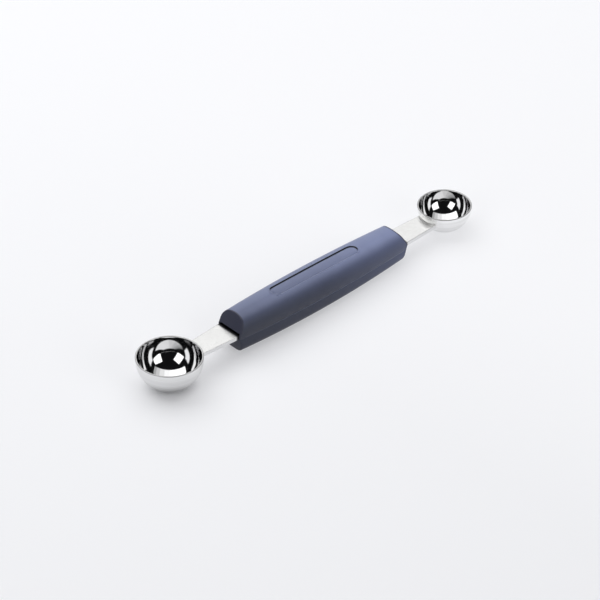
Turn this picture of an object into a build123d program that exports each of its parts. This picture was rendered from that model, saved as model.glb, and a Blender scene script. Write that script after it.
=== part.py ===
# Double-ended melon baller: a large and a small steel bowl on one strap, with a two-shell moulded grip.
# Frame: millimetres, +Z up, +X towards the small bowl, origin on the table under the middle of the tool.
# The tool lies on its two bowls, so its strap runs slightly downhill towards the small bowl.

from build123d import *
from math import asin, atan2, cos, hypot, sin
import os

# Bowls: diameter over the rim, outside depth, sheet thickness, and height of the rims above the strap
large_dia = 30.0
large_depth = 16.0
small_dia = 25.0
small_depth = 12.8
bowl_wall = 0.8
rim_rise = 3.4
rim_bevel = 0.2
bowl_spacing = 167.5

# Strap: flat bar, full width inside the grip, tapered to each bowl
strap_thick = 2.0
strap_width = 12.8
strap_width_large = 10.4
strap_width_small = 10.8
strap_full_start = 33.0
strap_full_end = 130.0
strap_edge_round = 0.25

# Grip, measured along the strap from the large bowl's axis and upwards from the strap's top face
grip_start = 34.7
grip_end = 137.0
grip_width_large = 14.2
grip_width_middle = 18.8
grip_width_small = 15.2
crown_large = 7.4
crown_middle = 7.4
crown_small = 6.1
crown_bulge = 2.1
shoulder_share = 0.7
end_lean = 0.5
toe_lean = 0.15
heel_lean = 0.35
nose_round = 0.8
belly_round = 4.0
end_round = 0.6
stations = 5
overrun = 1.0

# Underside of the grip: its height above the table, how much of the bowed bottom is cut level,
# and how far that bottom rises at both ends
underside_gap = 1.5
flat_cut = 0.3
toe_rise = 0.8
heel_rise = 0.5

# Slot for the strap, and the bevel of the parting line, which lies at the strap's lower face
slot_side_gap = 0.25
slot_top_gap = 0.9
slot_lead = 5.0
seam_bevel = 0.15

# Bare panel sunk into the crown
panel_middle = 86.0
panel_length = 51.5
panel_width = 6.5
panel_depth = 0.6

# Inside of the shells: walls, pockets between ribs, and two pegs that pass through the strap
wall = 2.2
pockets = 6
pocket_pitch = 16.0
rib_thick = 2.0
peg_dia = 4.0
peg_gap = 0.15
peg_reach = 3.0
peg_tip = 0.4
peg_spacing = 64.0
boss_wall = 1.6

# Heights of the two bowls' sphere centres, and the tilt that lets both bowls touch the table
large_centre = rim_rise - (large_depth - large_dia / 2)
small_centre = rim_rise - (small_depth - small_dia / 2)
centre_line = hypot(small_centre - large_centre, bowl_spacing)
tilt = atan2(small_centre - large_centre, bowl_spacing) + asin((large_dia - small_dia) / 2 / centre_line)

# The tool's own plane: the strap's top face, with local x along the strap from the large bowl's axis
left_end = large_centre * sin(tilt) - large_dia / 2
right_end = (bowl_spacing + small_dia / 2) * cos(tilt) + rim_rise * sin(tilt)
tool = Plane(
    origin=(-(left_end + right_end) / 2, 0, large_dia / 2 - large_centre * cos(tilt)),
    x_dir=(cos(tilt), 0, -sin(tilt)),
    z_dir=(sin(tilt), 0, cos(tilt)),
)
side = Plane(origin=tool.origin, x_dir=tool.x_dir, z_dir=-tool.y_dir)
seam = tool.offset(-strap_thick)
grip_middle = (grip_start + grip_end) / 2


def spot(x, z):
    """Point on the tool's middle line, x along the strap and z above its top face."""
    return tool.from_local_coords((x, 0, z))


def underside_at(x):
    """Height above the strap's top face of the level underside that clears the table."""
    return (underside_gap - tool.origin.Z + x * sin(tilt)) / cos(tilt)


def bow(x, first, middle, last):
    """Parabola through the values at the grip's start, middle and end."""
    t = 2 * (x - grip_start) / (grip_end - grip_start) - 1
    return middle + t * (last - first) / 2 + t * t * ((first + last) / 2 - middle)


def crowned_bar(inset):
    """Bar with a bowed crown and rounded shoulders and belly, lofted a little past the grip's ends."""
    with BuildPart() as bar:
        for i in range(stations):
            x = grip_start - overrun + i * (grip_end - grip_start + 2 * overrun) / (stations - 1)
            half = bow(x, grip_width_large, grip_width_middle, grip_width_small) / 2 - inset
            crown = bow(x, crown_large, crown_middle, crown_small) - inset
            shoulder = crown - crown_bulge
            base = underside_at(x) - flat_cut + bow(x, toe_rise, 0, heel_rise) + inset
            with BuildSketch(Plane(origin=spot(x, 0), x_dir=tool.y_dir, z_dir=tool.x_dir)) as section:
                with BuildLine():
                    Polyline((half, shoulder), (half, base), (-half, base), (-half, shoulder))
                    ThreePointArc((-half, shoulder), (0, crown), (half, shoulder))
                make_face()
                fillet(section.vertices().group_by(Axis.Y)[-1], shoulder_share * half)
                fillet(section.vertices().group_by(Axis.Y)[0], belly_round - inset)
        loft()
    return bar.part


def faces_an_end(face):
    """True for a face that looks along the strap, to within 37 degrees."""
    return abs(face.normal_at().dot(tool.x_dir)) > 0.8


def outline(faces):
    """Edges that belong to just one of the faces."""
    edges = faces.edges()
    return edges.filter_by(lambda e: sum(e.is_same(other) for other in edges) == 1)


def parting_edges(shell):
    """Outline of the face that a half of the grip shows at the parting plane."""
    return shell.faces().filter_by(lambda f: abs(seam.to_local_coords(f.center()).Z) < seam_bevel).edges()


os.makedirs("parts", exist_ok=True)

# Bowls, spun from sheet: a hemisphere with a short straight lip
for name, x, dia, centre in (
    ("large_bowl", 0, large_dia, large_centre),
    ("small_bowl", bowl_spacing, small_dia, small_centre),
):
    outer = dia / 2
    inner = outer - bowl_wall
    spin = Axis(spot(x, 0), tool.z_dir)
    with BuildPart() as bowl:
        with BuildSketch(side):
            with BuildLine():
                Line((x + inner, rim_rise), (x + outer, rim_rise))
                Line((x + outer, rim_rise), (x + outer, centre))
                CenterArc((x, centre), outer, 270, 90)
                Line((x, centre - outer), (x, centre - inner))
                CenterArc((x, centre), inner, 270, 90)
                Line((x + inner, centre), (x + inner, rim_rise))
            make_face()
        revolve(axis=spin)
        chamfer(bowl.edges().group_by(spin)[-1], rim_bevel)
    bowl.part.label = name
    export_step(bowl.part, f"parts/{name}.step")

# Strap: tapered flat bar, hollowed at each end to seat on the bowl it is welded to
large_seat = large_dia / 2
small_seat = bowl_spacing - small_dia / 2
with BuildPart() as strap:
    with BuildSketch(tool) as strap_plan:
        with BuildLine():
            Polyline(
                (0, 0),
                (0, strap_width_large / 2),
                (large_seat, strap_width_large / 2),
                (strap_full_start, strap_width / 2),
                (strap_full_end, strap_width / 2),
                (small_seat, strap_width_small / 2),
                (bowl_spacing, strap_width_small / 2),
                (bowl_spacing, 0),
            )
            mirror(about=Plane.XZ)
        make_face()
    extrude(amount=-strap_thick)
    fillet(strap.edges().filter_by(lambda e: e.length > strap_width), strap_edge_round)
    with BuildSketch(tool):
        with Locations((grip_middle, 0)):
            with GridLocations(peg_spacing, 0, 2, 1):
                Circle(peg_dia / 2 + peg_gap)
    extrude(amount=-strap_thick, mode=Mode.SUBTRACT)
    with Locations(spot(0, large_centre)):
        Sphere(large_dia / 2, mode=Mode.SUBTRACT)
    with Locations(spot(bowl_spacing, small_centre)):
        Sphere(small_dia / 2, mode=Mode.SUBTRACT)
strap.part.label = "strap"
export_step(strap.part, "parts/strap.step")

# Blank of the grip: the crowned bar trimmed by slightly leaning ends, with rounded end edges.
# Its bottom bows up towards both ends, and the middle of it is cut level as the face to rest on.
top = crown_large + overrun
bottom = underside_at(grip_start) - overrun
with BuildPart() as blank:
    add(crowned_bar(0))
    with BuildSketch(side):
        with BuildLine():
            Polyline(
                (grip_start + end_lean * top, top),
                (grip_start, 0),
                (grip_start - toe_lean * bottom, bottom),
                (grip_end + heel_lean * bottom, bottom),
                (grip_end, 0),
                (grip_end - end_lean * top, top),
                close=True,
            )
        make_face()
    extrude(amount=grip_width_middle, both=True, mode=Mode.INTERSECT)
    noses = blank.edges().filter_by(lambda e: abs(tool.to_local_coords(e.center()).Z) < seam_bevel)
    fillet(noses.filter_by(Axis.Y), nose_round)
    fillet(outline(blank.faces().filter_by(faces_an_end)), end_round)
    split(bisect_by=Plane.XY.offset(underside_gap), keep=Keep.TOP)

# Room inside both shells: pockets that follow the outside, with ribs between them and a boss round each peg
with BuildPart() as room:
    add(crowned_bar(wall))
    with BuildSketch(tool):
        with Locations((grip_middle, 0)):
            with GridLocations(pocket_pitch, 0, pockets, 1):
                Rectangle(pocket_pitch - rib_thick, grip_width_middle)
            with GridLocations(peg_spacing, 0, 2, 1):
                Circle(peg_dia / 2 + peg_gap + boss_wall, mode=Mode.SUBTRACT)
    extrude(amount=large_dia, both=True, mode=Mode.INTERSECT)

# Sunk panel: a stadium whose floor follows the crown
with BuildPart() as panel:
    with BuildSketch(tool.offset(crown_middle - crown_bulge)):
        with Locations((panel_middle, 0)):
            SlotOverall(panel_length, panel_width)
    extrude(amount=crown_large)
    add(crowned_bar(panel_depth), mode=Mode.SUBTRACT)

# Upper shell: crown, sunk panel, channel and end slots for the strap, and sockets for the pegs
with BuildPart() as upper_grip:
    add(blank.part)
    split(bisect_by=seam, keep=Keep.TOP)
    chamfer(parting_edges(upper_grip), seam_bevel)
    with BuildSketch(seam):
        add(strap_plan.sketch_local)
        offset(amount=slot_side_gap, kind=Kind.INTERSECTION)
    extrude(amount=strap_thick, mode=Mode.SUBTRACT)
    with BuildSketch(seam):
        add(strap_plan.sketch_local)
        offset(amount=slot_side_gap, kind=Kind.INTERSECTION)
        with Locations((grip_middle, 0)):
            Rectangle(grip_end - grip_start - 2 * slot_lead, grip_width_middle, mode=Mode.SUBTRACT)
    extrude(amount=strap_thick + slot_top_gap, mode=Mode.SUBTRACT)
    add(room.part, mode=Mode.SUBTRACT)
    add(panel.part, mode=Mode.SUBTRACT)
    with BuildSketch(tool):
        with Locations((grip_middle, 0)):
            with GridLocations(peg_spacing, 0, 2, 1):
                Circle(peg_dia / 2 + peg_gap)
    extrude(amount=peg_reach + peg_tip, mode=Mode.SUBTRACT)
upper_grip.part.label = "upper_grip"
export_step(upper_grip.part, "parts/upper_grip.step")

# Lower shell: flat underside, pockets, and the two pegs that hold the strap lengthwise
with BuildPart() as lower_grip:
    add(blank.part)
    split(bisect_by=seam, keep=Keep.BOTTOM)
    chamfer(parting_edges(lower_grip), seam_bevel)
    add(room.part, mode=Mode.SUBTRACT)
    with BuildSketch(seam):
        with Locations((grip_middle, 0)):
            with GridLocations(peg_spacing, 0, 2, 1):
                Circle(peg_dia / 2)
    extrude(amount=strap_thick + peg_reach)
    chamfer(lower_grip.faces().sort_by(Axis(seam.origin, seam.z_dir))[-2:].edges(), peg_tip)
lower_grip.part.label = "lower_grip"
export_step(lower_grip.part, "parts/lower_grip.step")
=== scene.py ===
# %% [markdown]
# A melon baller lies on a white studio table. It has a large and a small polished steel bowl, one steel
# strap that joins them, and a moulded grip of two shells. The packed CAD model comes first, because the
# place and size of each piece are read from it. Its nodes stay where they are. The strap only gets a
# material, and finer or smoother pieces stand in for the bowls and the shells, exactly where they were.

# %% Load the frame
from math import atan2, cos, degrees, pi, radians, sin

import bmesh
import bpy
from mathutils import Matrix, Quaternion, Vector


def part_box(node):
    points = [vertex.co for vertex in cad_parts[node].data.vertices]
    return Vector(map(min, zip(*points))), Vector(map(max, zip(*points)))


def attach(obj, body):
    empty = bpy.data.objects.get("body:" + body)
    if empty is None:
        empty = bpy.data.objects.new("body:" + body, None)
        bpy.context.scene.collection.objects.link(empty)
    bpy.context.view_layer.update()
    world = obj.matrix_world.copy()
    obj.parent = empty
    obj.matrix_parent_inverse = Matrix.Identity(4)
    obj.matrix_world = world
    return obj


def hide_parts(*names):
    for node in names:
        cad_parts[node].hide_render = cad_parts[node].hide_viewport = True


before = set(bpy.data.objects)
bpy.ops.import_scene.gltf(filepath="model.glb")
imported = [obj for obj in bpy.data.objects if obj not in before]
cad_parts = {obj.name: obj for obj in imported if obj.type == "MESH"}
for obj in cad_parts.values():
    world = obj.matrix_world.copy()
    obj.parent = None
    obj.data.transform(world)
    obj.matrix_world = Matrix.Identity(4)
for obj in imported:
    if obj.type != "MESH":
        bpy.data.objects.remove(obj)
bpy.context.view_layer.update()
MM = 0.001
print("nodes", sorted(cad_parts))

# %% [markdown]
# The photograph was taken with a long lens from above the large bowl's side, so the perspective is weak.
# The camera could be placed by eye, but its place follows from the rims: they are circles of known
# size, and their ellipses in the picture give the elevation, the direction and the distance.

# %% Camera
IMAGE_SIDE = 600
FOCAL_PIXELS = 4014.83
SENSOR = 36.0
SEES_TO = 20.0
view_azimuth = radians(-42.346)
view_elevation = radians(37.175)
view_roll = radians(-1.0055)
view_distance = 1.781634
view_target = Vector((-8.953, -4.037, 10.0)) * MM

viewer = Vector((sin(view_azimuth) * cos(view_elevation), -cos(view_azimuth) * cos(view_elevation),
                 sin(view_elevation)))
camera_data = bpy.data.cameras.new("studio_camera")
camera_data.sensor_width = SENSOR
camera_data.lens = FOCAL_PIXELS * SENSOR / IMAGE_SIDE
camera_data.clip_end = SEES_TO
camera = bpy.data.objects.new("studio_camera", camera_data)
bpy.context.scene.collection.objects.link(camera)
camera.location = view_target + viewer * view_distance
camera.rotation_mode = "QUATERNION"
camera.rotation_quaternion = (-viewer).to_track_quat("-Z", "Y") @ Quaternion((0, 0, 1), view_roll)
bpy.context.scene.camera = camera
print("lens", round(camera_data.lens, 1), "at", [round(v, 3) for v in camera.location])

# %% [markdown]
# A material is a graph of nodes. Written out node by node it is long and hard to follow, so this class
# wraps an output socket and turns Python's arithmetic into Math nodes. An expression such as
# wear * (1.0 - edge) then adds its two nodes and links them by itself.

# %% Arithmetic on sockets
class Wire:
    """An output socket. Arithmetic on wires, or on a wire and a number, adds Math nodes."""

    def __init__(self, finish, socket):
        self.finish = finish
        self.socket = socket

    def _math(self, operation, *terms):
        return self.finish.node("ShaderNodeMath", {"operation": operation}, dict(enumerate(terms)))

    def __add__(self, other):
        return self._math("ADD", self, other)

    def __sub__(self, other):
        return self._math("SUBTRACT", self, other)

    def __rsub__(self, other):
        return self._math("SUBTRACT", other, self)

    def __mul__(self, other):
        return self._math("MULTIPLY", self, other)

    def __truediv__(self, other):
        return self._math("DIVIDE", self, other)

    def __pow__(self, other):
        return self._math("POWER", self, other)

    def __abs__(self):
        return self._math("ABSOLUTE", self)

    def least(self, other):
        return self._math("MINIMUM", self, other)

    def most(self, other):
        return self._math("MAXIMUM", self, other)

    __radd__ = __add__
    __rmul__ = __mul__


print("a wire takes + - * / ** and abs, least and most")

# %% [markdown]
# The second class is the material itself. One method adds any node, a wire's Math nodes among them, and
# the others are short names for what the finishes here use: a place on the tool, noise, one range mapped
# onto another, a blend of two colours, and bump. What changes over a surface is fed into a socket, and
# what stays the same is set on the shader.

# %% Materials made of nodes
class Finish:
    """A material with a Principled shader. Keyword arguments are the constants of its sockets."""

    def __init__(self, name, **constants):
        self.material = bpy.data.materials.new(name)
        self.material.use_nodes = True
        self.tree = self.material.node_tree
        self.shader = self.tree.nodes["Principled BSDF"]
        for socket, value in constants.items():
            self.shader.inputs[socket.replace("_", " ")].default_value = value

    def node(self, kind, settings, inputs, output=0):
        """Adds a node, sets its settings, then fills its sockets with numbers or wires."""
        made = self.tree.nodes.new(kind)
        for name, value in settings.items():
            setattr(made, name, value)
        for socket, value in inputs.items():
            if isinstance(value, Wire):
                self.tree.links.new(value.socket, made.inputs[socket])
            else:
                made.inputs[socket].default_value = value
        return Wire(self, made.outputs[output])

    def feed(self, socket, wire):
        """Links a wire to a socket of the shader."""
        self.tree.links.new(wire.socket, self.shader.inputs[socket])

    def place(self, origin, tilt=0.0):
        """Object coordinates in millimetres from an origin, with X and Z tilted about Y."""
        spot = self.node("ShaderNodeTexCoord", {}, {}, "Object")
        return self.node("ShaderNodeMapping", {"vector_type": "TEXTURE"},
                         {"Vector": spot, "Location": origin, "Rotation": (0, tilt, 0),
                          "Scale": (MM, MM, MM)})

    def parts(self, spot):
        """The three coordinates of a spot."""
        return [self.node("ShaderNodeSeparateXYZ", {}, {"Vector": spot}, axis) for axis in "XYZ"]

    def flat(self, x, y):
        """Vector of two coordinates."""
        return self.node("ShaderNodeCombineXYZ", {}, {"X": x, "Y": y})

    def length(self, x, y):
        """Length of a flat vector."""
        return self.node("ShaderNodeVectorMath", {"operation": "LENGTH"}, {0: self.flat(x, y)}, "Value")

    def noise(self, spot, scale, detail=2.0, roughness=0.5):
        """Soft noise from 0 to 1, with its scale in bumps per unit of spot."""
        return self.node("ShaderNodeTexNoise", {},
                         {"Vector": spot, "Scale": scale, "Detail": detail, "Roughness": roughness})

    def between(self, value, low, high, to_low=0.0, to_high=1.0):
        """Maps low to high onto to_low to to_high, and holds the ends."""
        return self.node("ShaderNodeMapRange", {"clamp": True},
                         {"Value": value, "From Min": low, "From Max": high,
                          "To Min": to_low, "To Max": to_high})

    def blend(self, share, first, second):
        """Colour that goes from first to second as share goes from 0 to 1."""
        return self.node("ShaderNodeMix", {"data_type": "RGBA"}, {0: share, 6: first, 7: second}, 2)

    def bump(self, height, depth):
        """Feeds a height from 0 to 1, worth depth in metres, to the shader's normal."""
        self.feed("Normal", self.node("ShaderNodeBump", {}, {"Height": height, "Distance": depth}))


def tint(red, green, blue):
    """Linear colour with full alpha."""
    return (red, green, blue, 1.0)


print("a finish has", [name for name in vars(Finish) if not name.startswith("_")])

# %% [markdown]
# Everything below needs to know how the tool lies. It could be typed in, but then it would be wrong as
# soon as the model changes, so it is measured. The strap's top face gives the tilt of the tool, each
# bowl's own vertices give its centre, radii and rim height, and the upper shell and the strap give the
# middle of the grip, on the plane where its two shells part.

# %% Measure the tool
LOOKS_UP = 0.9


def upward(node):
    """Mean normal of the faces of a node that look up."""
    total = Vector()
    for face in node.data.polygons:
        if face.normal.z > LOOKS_UP:
            total += face.normal * face.area
    return total.normalized()


tool_up = upward(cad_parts["strap"])
tool_along = Vector((tool_up.z, 0, -tool_up.x))
tool_tilt = atan2(tool_up.x, tool_up.z)


def measure_bowl(name):
    """Sphere centre, outer and inner radius, and rim height above the centre of a bowl."""
    low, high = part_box(name)
    outer = (high.y - low.y) / 2
    centre = Vector((low.x + outer, (low.y + high.y) / 2, low.z + outer))
    points = [v.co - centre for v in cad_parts[name].data.vertices]
    inner = min(p.length for p in points)
    rim = max(p.dot(tool_up) for p in points)
    return centre, outer, inner, rim


def reach(name, direction):
    """Lowest and highest place of a node along a direction."""
    places = [v.co.dot(direction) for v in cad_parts[name].data.vertices]
    return min(places), max(places)


bowl_sizes = {name: measure_bowl(name) for name in ("large_bowl", "small_bowl")}
grip_start, grip_end = reach("upper_grip", tool_along)
half_grip = (grip_end - grip_start) / 2 / MM
parting, strap_top = reach("strap", tool_up)
strap_thick = (strap_top - parting) / MM
grip_middle = tool_along * ((grip_start + grip_end) / 2) + tool_up * parting
print("tilt", round(degrees(tool_tilt), 3), "half grip", round(half_grip, 2), "strap",
      round(strap_thick, 2), "middle of the parting plane", [round(v / MM, 2) for v in grip_middle])
for name, (centre, outer, inner, rim) in bowl_sizes.items():
    print(name, "centre", [round(v / MM, 2) for v in centre], "radii", round(outer / MM, 3),
          round(inner / MM, 3), "rim", round(rim / MM, 3))

# %% [markdown]
# A bowl is a profile turned about an axis, which is a rule, so Geometry Nodes do it. The profile is a curve
# object. The tree sweeps it round a circle, joins the seam and the two poles, and sets the smooth shading
# and the material. Its inputs are the number of steps round the bowl, the joining distance and the
# material. A Spin in a mesh would do the same, but the tree also turns the table's sweep further down.

# %% Geometry Nodes tree that turns a profile about an axis
CIRCLE = 1.0


def socket_id(tree, name):
    """Identifier of a tree's input, by its name."""
    return next(item.identifier for item in tree.interface.items_tree
                if item.name == name and item.in_out == "INPUT")


def turning_tree():
    """Profile curve in the XY plane, X outwards and Y downwards, turned about the Z axis."""
    tree = bpy.data.node_groups.new("turned_profile", "GeometryNodeTree")
    face = tree.interface
    face.new_socket("Geometry", in_out="INPUT", socket_type="NodeSocketGeometry")
    face.new_socket("Steps", in_out="INPUT", socket_type="NodeSocketInt")
    face.new_socket("Joining Distance", in_out="INPUT", socket_type="NodeSocketFloat")
    face.new_socket("Material", in_out="INPUT", socket_type="NodeSocketMaterial")
    face.new_socket("Geometry", in_out="OUTPUT", socket_type="NodeSocketGeometry")
    made = {name: tree.nodes.new(kind) for name, kind in (
        ("given", "NodeGroupInput"), ("circle", "GeometryNodeCurvePrimitiveCircle"),
        ("sweep", "GeometryNodeCurveToMesh"), ("join", "GeometryNodeMergeByDistance"),
        ("smooth", "GeometryNodeSetShadeSmooth"), ("real", "GeometryNodeRealizeInstances"),
        ("paint", "GeometryNodeSetMaterial"), ("result", "NodeGroupOutput"))}
    made["circle"].inputs["Radius"].default_value = CIRCLE
    for first, output, second, socket in (
        ("given", "Steps", "circle", "Resolution"), ("circle", "Curve", "sweep", "Curve"),
        ("given", "Geometry", "sweep", "Profile Curve"), ("sweep", "Mesh", "join", "Geometry"),
        ("given", "Joining Distance", "join", "Distance"), ("join", "Geometry", "smooth", "Geometry"),
        ("smooth", "Geometry", "real", "Geometry"), ("real", "Geometry", "paint", "Geometry"),
        ("given", "Material", "paint", "Material"), ("paint", "Geometry", "result", "Geometry"),
    ):
        tree.links.new(made[first].outputs[output], made[second].inputs[socket])
    return tree


turned = turning_tree()
print("tree", turned.name, "with inputs", [s.name for s in turned.interface.items_tree])

# %% [markdown]
# The profile stands one circle's radius to the left of where it is drawn, because the sweep adds that
# radius again. The evaluated object gives a plain mesh, the holder with its modifier goes, and the mesh
# is put in place, so that the finished object itself sits at the origin, unturned.

# %% Turn a list of points into a mesh
JOINING = 0.002 * MM


def arc(centre_x, centre_y, radius, start, end, steps):
    """Points of a circular arc from start to end, in degrees."""
    turns = [radians(start + (end - start) * i / steps) for i in range(steps + 1)]
    return [(centre_x + radius * cos(t), centre_y + radius * sin(t)) for t in turns]


def open_edges(shape):
    """Number of edges that don't have a face on both sides."""
    return sum(1 for edge in shape.edges if len(edge.link_faces) != 2)


def turned_piece(name, points, matrix, material, steps):
    """Mesh object made by turning the points about Z with the tree, then put in its place."""
    curve = bpy.data.curves.new(name + "_profile", "CURVE")
    curve.dimensions = "3D"
    spline = curve.splines.new("POLY")
    spline.points.add(len(points) - 1)
    for point, (x, y) in zip(spline.points, points):
        point.co = (x - CIRCLE, y, 0.0, 1.0)
    holder = bpy.data.objects.new(name + "_profile", curve)
    bpy.context.scene.collection.objects.link(holder)
    modifier = holder.modifiers.new("turn", "NODES")
    modifier.node_group = turned
    modifier[socket_id(turned, "Steps")] = steps
    modifier[socket_id(turned, "Joining Distance")] = JOINING
    modifier[socket_id(turned, "Material")] = material
    mesh = bpy.data.meshes.new_from_object(holder.evaluated_get(bpy.context.evaluated_depsgraph_get()))
    bpy.data.objects.remove(holder)
    mesh.name = name
    mesh.transform(matrix)
    shape = bmesh.new()
    shape.from_mesh(mesh)
    bmesh.ops.recalc_face_normals(shape, faces=shape.faces)
    shape.to_mesh(mesh)
    print(name, len(shape.faces), "faces,", open_edges(shape), "open edges")
    shape.free()
    piece = bpy.data.objects.new(name, mesh)
    bpy.context.scene.collection.objects.link(piece)
    return piece


print("profiles are joined within", round(JOINING / MM, 4), "mm")

# %% [markdown]
# Plain soft light makes both sides of a bowl's wall alike. So painted light makes the outside brighter
# than the inside, a painted reflection of the shade under the bowl darkens it near the pole, and painted
# reflections lay faint bands on it. Painted shade makes the rim's flat darker with a dark outer corner,
# and painted light makes the blended weld on the grip's side nearly white. More lamps could give part of
# that, but they would show in the mirror, so the metal's colour gives it. Widths are in millimetres, and
# the places of the pole's dark part and of the weld are shares of the outer radius.

# %% Colours of a bowl
# The inside is darker than the outside by painted light on the outside, and BAND is painted reflection.
INSIDE = tint(0.57, 0.57, 0.575)
BAND = tint(0.2, 0.2, 0.2)
BAND_SHARE = 0.2
# Painted shade on the rim's flat and on its outer corner.
RIM_FLAT = tint(0.36, 0.36, 0.36)
RIM_CORNER = tint(0.12, 0.12, 0.12)
# Painted light that makes the weld on the grip's side nearly white.
WELD_PAINTED_LIGHT = tint(0.92, 0.92, 0.91)
WALL_SOFT = 0.1
FLAT_BELOW_RIM = 0.2, 0.1
CORNER_WIDTH = 0.25, 0.12
POLE_TO_SIDE = -0.76, -0.38
WELD_START = 0.72, 0.86
WELD_SIDE = 5.0, 7.5


def bowl_colour(steel, bands, spot, sizes, to_grip, bright, under):
    """Colour of a bowl with painted light and shade on its wall, rim and weld, and the weld's light mask.
    """
    outer, inner, rim = sizes
    x, y, height = steel.parts(spot)
    radius = steel.length(x, y)
    wall = (outer + inner) / 2
    outside = steel.between(steel.length(radius, height.least(0.0)), wall - WALL_SOFT, wall + WALL_SOFT)
    edge = steel.between(height, *[rim - depth for depth in FLAT_BELOW_RIM])
    corner = steel.between(radius, *[outer - width for width in CORNER_WIDTH]) * edge
    below_edge = steel.between(edge, 0.0, 0.5, 1.0, 0.0)
    weld = (steel.between(x * to_grip / outer, *WELD_START) * steel.between(abs(y), *WELD_SIDE, 1.0, 0.0)
            * outside * below_edge)
    # Painted light on the outside, and painted shade near the pole.
    painted_outside = steel.blend(steel.between(height, *[share * outer for share in POLE_TO_SIDE]), under, bright)
    painted_outside = steel.blend(bands * BAND_SHARE, painted_outside, BAND)
    shade = steel.blend(outside, INSIDE, painted_outside)
    shade = steel.blend(edge, shade, RIM_FLAT)
    shade = steel.blend(weld, shade, WELD_PAINTED_LIGHT)
    return steel.blend(corner, shade, RIM_CORNER), weld


print("rim flat", RIM_FLAT[:3], "weld", WELD_PAINTED_LIGHT[:3])

# %% [markdown]
# The bowls are spun from sheet and polished on a wheel. The finish is plain metal with a low roughness, and
# what makes it real is small: fine rings round the axis, a slight waviness of the sheet that bends the
# reflections, and a film of wear that dulls it in patches. Faint broad bands round the axis are painted
# reflections in the colour. Rings and bands are noise on radius and height alone, so they close round the
# axis, which noise on all three coordinates wouldn't.

# %% Polished steel
BAND_RANGE = 0.35, 0.65
HAZE_RANGE = 0.35, 0.75
MIRROR = 0.03, 0.08
RING_DULLS = 0.02
WELD_DULLS = 0.4
RING_BUMP = 0.015
SHEET_DEPTH = 0.08 * MM


def polished_steel(name, centre, outer, inner, rim, bright, under):
    """Mirror finish with rings round the bowl's axis, and painted light, shade and reflected bands in its
    colour.
    """
    steel = Finish(name, Metallic=1.0)
    spot = steel.place(centre, tool_tilt)
    x, y, height = steel.parts(spot)
    profile = steel.flat(steel.length(x, y), height)
    rings = steel.noise(profile, scale=7.0, detail=3.0, roughness=0.6)
    bands = steel.between(steel.noise(profile, scale=0.35, detail=3.0, roughness=0.6), *BAND_RANGE)
    haze = steel.noise(spot, scale=0.16, detail=4.0, roughness=0.6)
    sheet = steel.noise(spot, scale=0.11, detail=1.0)
    sizes = outer / MM, inner / MM, rim / MM
    to_grip = 1.0 if centre.x < 0 else -1.0
    colour, weld = bowl_colour(steel, bands, spot, sizes, to_grip, bright, under)
    worn = steel.between(haze, *HAZE_RANGE, *MIRROR)
    steel.feed("Base Color", colour)
    steel.feed("Roughness", worn + rings * RING_DULLS + weld * WELD_DULLS)
    steel.bump(sheet * (1.0 - RING_BUMP) + rings * RING_BUMP, SHEET_DEPTH)
    return steel.material


print("sheet waviness", round(SHEET_DEPTH / MM, 3), "mm deep")

# %% [markdown]
# The CAD mesh of a bowl has the true shape, but a mirror shows each of its facets, so a finer one takes
# its place. Its closed profile runs up the outside arc, over the short straight lip and the rounded rim,
# and down the inside arc. The far, small bowl stands in brighter surroundings, so its outside gets more
# painted light and less painted shade near its pole.

# %% Bowls
BOWL_STEPS = 160
ARC_STEPS = 44
RIM_STEPS = 6
RIM_ROUND = 0.25 * MM
# Painted light on each bowl's outside, and painted shade near its pole.
BOWL_PAINTED_LIGHT = {"large_bowl": (tint(0.81, 0.81, 0.81), tint(0.24, 0.24, 0.24)),
              "small_bowl": (tint(0.95, 0.95, 0.95), tint(0.78, 0.78, 0.78))}


def bowl_profile(outer, inner, rim):
    """Profile of a bowl's wall, from the outside pole over the rim to the inside pole."""
    points = arc(0, 0, outer, 90, 0, ARC_STEPS)
    points += arc(outer - RIM_ROUND, -rim + RIM_ROUND, RIM_ROUND, 0, -90, RIM_STEPS)
    points += arc(inner + RIM_ROUND, -rim + RIM_ROUND, RIM_ROUND, -90, -180, RIM_STEPS)
    points += arc(0, 0, inner, 0, 90, ARC_STEPS)
    return points


for name, (centre, outer, inner, rim) in bowl_sizes.items():
    matrix = Matrix.Translation(centre) @ Matrix.Rotation(tool_tilt, 4, "Y")
    steel = polished_steel(name + "_steel", centre, outer, inner, rim, *BOWL_PAINTED_LIGHT[name])
    bowl = turned_piece(name + "_mirror", bowl_profile(outer, inner, rim), matrix, steel, BOWL_STEPS)
    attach(bowl, "root")
    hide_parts(name)

# %% [markdown]
# The strap is bar stock, ground lengthwise and left satin. Its flat faces need no finer mesh, so the CAD
# node stays and only gets its material: long thin streaks along the bar, in the roughness and the bump.
# The colour carries painted light: the top gets lighter towards the small bowl and the narrow sides are
# brighter than the top. A dark band next to the grip is painted shadow of the slot that the strap comes out
# of. Places are in millimetres from the middle of the grip, which reaches a little past 50 on each side.

# %% Satin steel strap
# Painted light: the top lighter towards the small bowl, the sides brighter than the top.
STRAP_TOP = tint(0.57, 0.57, 0.565), tint(0.69, 0.69, 0.685)
STRAP_SIDE = tint(0.76, 0.76, 0.76)
# Painted shadow of the slot next to the grip.
SLOT_SHADOW = tint(0.03, 0.03, 0.035)
ALONG_GRIP = -50.0, 50.0
SIDE_BELOW_TOP = 0.3, 0.05
SHADOW_PAST_GRIP = 0.7, 1.6
STREAKS = (0.12, 9.0, 9.0)
STREAK_RANGE = 0.3, 0.7
STREAK_DEPTH = 0.012 * MM
SATIN = 0.2, 0.32
HAZE_DULLS = 0.06


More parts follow.
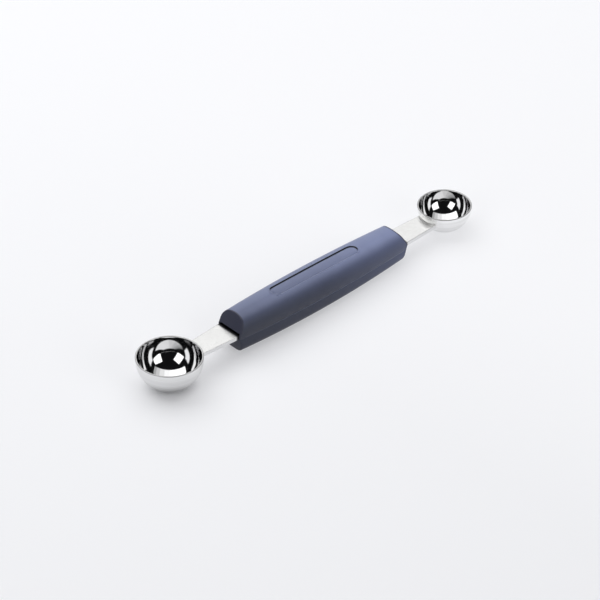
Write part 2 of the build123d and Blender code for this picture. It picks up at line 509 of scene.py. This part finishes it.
def satin_steel():
    """Steel with grinding streaks along X, painted light on top and sides, and a painted slot shadow by the
    grip.
    """
    steel = Finish("satin_steel", Metallic=1.0)
    spot = steel.place(grip_middle, tool_tilt)
    long = steel.node("ShaderNodeVectorMath", {"operation": "MULTIPLY"}, {0: spot, 1: STREAKS})
    streaks = steel.noise(long, scale=1.0, detail=4.0, roughness=0.65)
    haze = steel.noise(spot, scale=0.25, detail=3.0)
    x, _, height = steel.parts(spot)
    top = steel.blend(steel.between(x, *ALONG_GRIP), *STRAP_TOP)
    on_top = steel.between(height, *[strap_thick - depth for depth in SIDE_BELOW_TOP])
    shade = steel.blend(on_top, STRAP_SIDE, top)
    past_shadow = steel.between(abs(x) - half_grip, *SHADOW_PAST_GRIP)
    steel.feed("Base Color", steel.blend(past_shadow, SLOT_SHADOW, shade))
    steel.feed("Roughness", steel.between(streaks, *STREAK_RANGE, *SATIN) + haze * HAZE_DULLS)
    steel.bump(streaks, STREAK_DEPTH)
    return steel.material


def finish_node(name, material):
    """Gives a CAD node one material."""
    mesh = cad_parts[name].data
    mesh.materials.clear()
    mesh.materials.append(material)
    print(name, "has", material.name)


finish_node("strap", satin_steel())

# %% [markdown]
# The grip is moulded in a hard slate-blue plastic with a satin skin, and a fine grain breaks up its shine.
# In the studio its crown is light, its sides fall off quickly, and the end by the large bowl is darker
# than the other. Broad soft lamps alone can't do all that, so shade is painted into the colour by height
# and length: low is the share of light that the sides keep, and rise brings it up to full on the crown.
# The end faces get painted shade, and the crown's far shoulder gets a painted highlight.

# %% Shades of the grip
SKIN = tint(0.195, 0.230, 0.395), tint(0.220, 0.260, 0.440)
UNLIT = tint(0.0, 0.0, 0.0)
# Painted highlight on the crown's far shoulder.
SHOULDER = tint(0.30, 0.34, 0.50)
# Painted shade on the end faces.
END_FACE = tint(0.035, 0.038, 0.066)
FAR_HALF = 0.0, 50.0
SIDES_KEEP = 0.3, 0.6
ENDS_KEEP = 0.54, 1.0
CROWN_HEIGHT = 9.4, 8.1
RISE_POWER = 4.0
SHOULDER_PLACE = -1.0, 4.0
SHOULDER_HEIGHT = 2.5, 5.0
SHOULDER_SHARE = 0.5
END_LEAN = 0.5
END_DEPTH = 0.8, 0.3
ABOVE_PARTING = -0.4, 0.4


def grip_shading(plastic, spot, shade):
    """Paints shade on a colour by height, length and end faces, and a highlight on the far shoulder."""
    x, y, height = plastic.parts(spot)
    low = plastic.between(x, *FAR_HALF, *SIDES_KEEP)
    crown = plastic.between(x, *FAR_HALF, *CROWN_HEIGHT)
    rise = (height / crown).most(0.0).least(1.0) ** RISE_POWER
    lit = (low + rise - low * rise) * plastic.between(x, *ALONG_GRIP, *ENDS_KEEP)
    shade = plastic.blend(lit, UNLIT, shade)
    leaning = abs(x) + (height - strap_thick).most(0.0) * END_LEAN
    on_end = plastic.between(leaning, *[half_grip - depth for depth in END_DEPTH])
    far_side = plastic.between(y, *SHOULDER_PLACE, 0.0, SHOULDER_SHARE)
    shoulder = far_side * plastic.between(height, *SHOULDER_HEIGHT) * (1.0 - on_end)
    shade = plastic.blend(shoulder, shade, SHOULDER)
    return plastic.blend(on_end * plastic.between(height, *ABOVE_PARTING), shade, END_FACE)


print("the crown is", CROWN_HEIGHT, "mm high at the middle and at the far end")

# %% [markdown]
# The sunk panel is a stadium, so the distance from its outline is simple: x past the straight part and y
# give the distance from the middle line, and its round radius is taken off. The wall that turns away from
# the light gets painted shade, and the edge across from it a painted highlight. Along the sides, where the
# two shells part, a thin painted highlight stands for the light that the parting line catches, and it
# shows more towards the small bowl.

# %% Panel edges and parting line
PANEL_PLACE = 0.15
PANEL_STRAIGHT = 22.5
PANEL_ROUND = 3.25
ON_CROWN = 5.0, 6.0
# Painted shade on the panel's far wall.
PANEL_WALL = tint(0.002, 0.003, 0.006)
WALL_FOOT = -0.45, -0.15
WALL_TOP = 0.05, 0.2
DARK_SIDE = 0.67, 0.74
DARK_START = 0.3, 1.5
# Painted highlight on the panel's near edge.
PANEL_EDGE = tint(0.36, 0.39, 0.52)
EDGE_WIDTH = 0.1, 0.4
EDGE_END = -1.5, -0.3
EDGE_SHARE = 0.5
# Painted highlight along the parting line of the two shells.
PARTING_HIGHLIGHT = tint(0.26, 0.29, 0.40)
LINE_WIDTH = 0.1, 0.25
LINE_PLACE = -50.0, 10.0
LINE_SHARE = 0.15, 0.65


def panel_edges(plastic, spot, shade):
    """Paints shade on the far wall of the sunk panel and a highlight on its near edge."""
    x, y, height = plastic.parts(spot)
    from_panel = x - PANEL_PLACE
    past_end = from_panel - from_panel.most(-PANEL_STRAIGHT).least(PANEL_STRAIGHT)
    outline = plastic.length(past_end, y) - PANEL_ROUND
    facing = past_end * DARK_SIDE[0] + y * DARK_SIDE[1]
    on_crown = plastic.between(height, *ON_CROWN)
    wall = plastic.between(outline, *WALL_FOOT) * plastic.between(outline, *WALL_TOP, 1.0, 0.0)
    shade = plastic.blend(wall * plastic.between(facing, *DARK_START) * on_crown, shade, PANEL_WALL)
    edge = plastic.between(abs(outline), *EDGE_WIDTH, 1.0, 0.0)
    near = plastic.between(facing, *EDGE_END, EDGE_SHARE, 0.0)
    return plastic.blend(edge * near * on_crown, shade, PANEL_EDGE)


def parting_highlight(plastic, spot, shade):
    """Painted highlight at the height where the two shells part."""
    x, _, height = plastic.parts(spot)
    line = plastic.between(abs(height), *LINE_WIDTH, 1.0, 0.0)
    return plastic.blend(line * plastic.between(x, *LINE_PLACE, *LINE_SHARE), shade, PARTING_HIGHLIGHT)


print("panel", 2 * (PANEL_STRAIGHT + PANEL_ROUND), "by", 2 * PANEL_ROUND, "mm")

# %% [markdown]
# The material adds this painted shade and light one after another to a colour that clouds vary a little,
# and takes its roughness and bump from the grain.

# %% Grip plastic
CLOUD_RANGE = 0.3, 0.7
GRAIN_RANGE = 0.25, 0.75
SATIN_SKIN = 0.38, 0.48
GRAIN_DEPTH = 0.01 * MM


def grip_plastic():
    """Slate-blue moulded plastic with a fine satin grain, and painted shade and light."""
    plastic = Finish("grip_plastic", Specular_IOR_Level=0.4)
    spot = plastic.place(grip_middle, tool_tilt)
    grain = plastic.noise(spot, scale=4.5, detail=2.0, roughness=0.55)
    clouds = plastic.noise(spot, scale=0.09, detail=3.0)
    shade = plastic.blend(plastic.between(clouds, *CLOUD_RANGE), *SKIN)
    for change in (grip_shading, panel_edges, parting_highlight):
        shade = change(plastic, spot, shade)
    plastic.feed("Base Color", shade)
    plastic.feed("Roughness", plastic.between(grain, *GRAIN_RANGE, *SATIN_SKIN))
    plastic.bump(grain, GRAIN_DEPTH)
    return plastic.material


slate = grip_plastic()
print(slate.name, "has", len(slate.node_tree.nodes), "nodes")

# %% [markdown]
# The shells keep the CAD shape, but a CAD node's mesh is loose flat triangles. So each is copied, its
# triangles are joined, and its faces are shaded smooth except across real edges, which a crease angle
# tells apart. The copy stands in for the node.

# %% Grip shells
SHELL_JOINING = 0.0005 * MM
CREASE = 30


def smooth_copy(name, material):
    """Copy of a CAD node with its loose triangles joined and its round faces shaded smooth."""
    shape = bmesh.new()
    shape.from_mesh(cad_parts[name].data)
    bmesh.ops.remove_doubles(shape, verts=shape.verts, dist=SHELL_JOINING)
    for face in shape.faces:
        face.smooth = True
        face.material_index = 0
    mesh = bpy.data.meshes.new(name + "_skin")
    shape.to_mesh(mesh)
    print(mesh.name, len(shape.faces), "faces,", open_edges(shape), "open edges")
    shape.free()
    mesh.set_sharp_from_angle(angle=radians(CREASE))
    mesh.materials.append(material)
    piece = bpy.data.objects.new(name + "_skin", mesh)
    bpy.context.scene.collection.objects.link(piece)
    return piece


for name in ("upper_grip", "lower_grip"):
    shell = smooth_copy(name, slate)
    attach(shell, "root")
    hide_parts(name)

# %% [markdown]
# The table is one white sweep: flat under the tool and turned up far away, so that a low view also ends in
# white. A plain plane would show a horizon. It is turned from a profile with the same tree as the bowls.
# Its paper looks part white by itself to the camera and in the steel, and it is grey to all other rays.
# The white fades towards the large bowl's side, which paints the light brighter towards the small bowl,
# and it is left out right under that bowl, which paints a deeper shadow at its foot. So the background is
# pale, the shadows stay, and no extra light comes back up onto the grip. Places are in millimetres from
# the large bowl's foot.

# %% White sweep
SWEEP_FLAT = 2.2
SWEEP_HEIGHT = 0.45
SWEEP_STEPS = 96
TURN_UP_STEPS = 12
PAPER = tint(0.90, 0.905, 0.93)
PAPER_TO_DIFFUSE = tint(0.40, 0.40, 0.41)
PAPER_GLOW = tint(0.97, 0.975, 1.0)
# Painted light: the paper's own white grows towards the small bowl.
GLOW_SHARE = 0.40, 0.62
GLOW_PLACE = 60.0, 160.0
# Painted shadow: no white of its own right under the large bowl's foot.
FOOT_SHADOW = 4.0, 13.0


def sweep_paper():
    """Matt white paper, part white by itself to camera and steel, with painted light and a painted foot
    shadow.
    """
    paper = Finish("sweep_paper", Roughness=1.0, Specular_IOR_Level=0.0)
    camera_ray, mirror_ray, glass_ray = [paper.node("ShaderNodeLightPath", {}, {}, kind) for kind in
                                         ("Is Camera Ray", "Is Glossy Ray", "Is Transmission Ray")]
    seen = camera_ray.most(mirror_ray).most(glass_ray)
    paper.feed("Base Color", paper.blend(seen, PAPER_TO_DIFFUSE, PAPER))
    foot = bowl_sizes["large_bowl"][0]
    x, y, _ = paper.parts(paper.place((foot.x, foot.y, 0.0)))
    past_foot = paper.between(paper.length(x, y), *FOOT_SHADOW)
    glow = past_foot * paper.between(x, *GLOW_PLACE, *GLOW_SHARE)
    white = paper.node("ShaderNodeEmission", {}, {"Color": PAPER_GLOW, "Strength": 1.0})
    lit = Wire(paper, paper.shader.outputs["BSDF"])
    mixed = paper.node("ShaderNodeMixShader", {}, {0: seen * glow, 1: lit, 2: white})
    paper.tree.links.new(mixed.socket, paper.tree.nodes["Material Output"].inputs["Surface"])
    return paper.material


turn_up = arc(SWEEP_FLAT, -SWEEP_HEIGHT, SWEEP_HEIGHT, 90, 0, TURN_UP_STEPS)
sweep = turned_piece("sweep", [(0.0, 0.0)] + turn_up, Matrix.Identity(4), sweep_paper(), SWEEP_STEPS)

# %% [markdown]
# Studio lamps are softboxes: bright rectangles that a mirror shows as they are. An area lamp is one, and
# its power is worked out from how bright its face looks, because that is what the steel reflects. A place
# in the room is easier to think of from the camera, so lamps are placed towards the viewer, to the
# viewer's right and up. A lamp straight overhead takes the viewer's right as its width.

# %% Lamps
OVERHEAD = 0.01
toward_viewer = Vector((sin(view_azimuth), -cos(view_azimuth), 0.0))
viewer_right = Vector((cos(view_azimuth), sin(view_azimuth), 0.0))
straight_up = Vector((0.0, 0.0, 1.0))


def in_room(toward, right, up):
    """Vector from its shares toward the viewer, to the viewer's right and up."""
    return toward_viewer * toward + viewer_right * right + straight_up * up


def light_box(name, centre, away, width, height, radiance, roll=0.0):
    """Rectangular lamp that shines back along the direction away, turned by roll degrees about it."""
    across = straight_up.cross(away)
    across = across.normalized() if across.length > OVERHEAD else viewer_right
    axes = Matrix((across, away.cross(across), away)).transposed()
    data = bpy.data.lights.new(name, "AREA")
    data.shape = "RECTANGLE"
    data.size = width
    data.size_y = height
    data.energy = radiance * pi * width * height
    lamp = bpy.data.objects.new(name, data)
    bpy.context.scene.collection.objects.link(lamp)
    lamp.matrix_world = (Matrix.Translation(view_target + centre) @ axes.to_4x4()
                         @ Matrix.Rotation(radians(roll), 4, "Z"))
    lamp.visible_camera = False
    print(name, "at", [round(v, 2) for v in lamp.location], "radiance", round(radiance, 2))


print("viewer at", [round(v, 2) for v in toward_viewer], "right", [round(v, 2) for v in viewer_right])

# %% [markdown]
# The light comes from one large panel overhead and a little behind, which lights the table and the crown
# of the grip, and from two smaller, nearly square boxes in front, left and right of the camera. The bowls
# show all three, so their directions are read from the reflections. The panel is made of strips side by
# side, because it gets dimmer to the right. The rest of the room stays nearly dark. A box is given by its
# azimuth and elevation in degrees, its width and height in metres, and its roll in degrees.

# %% Studio light
PANEL_HEIGHT = 1.0
PANEL_DEPTH = 1.92
PANEL_SHIFT = -0.77
PANEL_LEFT = -1.3
PANEL_WIDTH = 2.5
PANEL_STRIPS = 8
PANEL_RADIANCE = 2.15
PANEL_FADE = 1.7
FADE_START = -0.3
FADE_LENGTH = 1.5
BOXES = (("box_right", 51.0, 26.4, 1.10, 1.20, -12.0), ("box_left", -40.0, 29.3, 0.92, 1.30, -13.0))
BOX_DISTANCE = 2.0
BOX_RADIANCE = 2.5
ROOM_COLOUR = tint(0.9, 0.93, 1.0)
ROOM_STRENGTH = 0.01

strip = PANEL_WIDTH / PANEL_STRIPS
for i in range(PANEL_STRIPS):
    place = PANEL_LEFT + strip * (i + 0.5)
    radiance = PANEL_RADIANCE - PANEL_FADE * max(0.0, place - FADE_START) / FADE_LENGTH
    light_box(f"panel_{i}", in_room(PANEL_SHIFT, place, PANEL_HEIGHT), straight_up, strip, PANEL_DEPTH,
              radiance)
for name, azimuth, elevation, width, height, roll in BOXES:
    away = in_room(cos(radians(azimuth)) * cos(radians(elevation)),
                   sin(radians(azimuth)) * cos(radians(elevation)), sin(radians(elevation)))
    light_box(name, away * BOX_DISTANCE, away, width, height, BOX_RADIANCE, roll)

world = bpy.data.worlds.new("studio")
world.use_nodes = True
world.node_tree.nodes["Background"].inputs["Color"].default_value = ROOM_COLOUR
world.node_tree.nodes["Background"].inputs["Strength"].default_value = ROOM_STRENGTH
bpy.context.scene.world = world
bpy.context.scene.view_settings.view_transform = "Standard"

# %% [markdown]
# A better surface must not change the size of the tool.
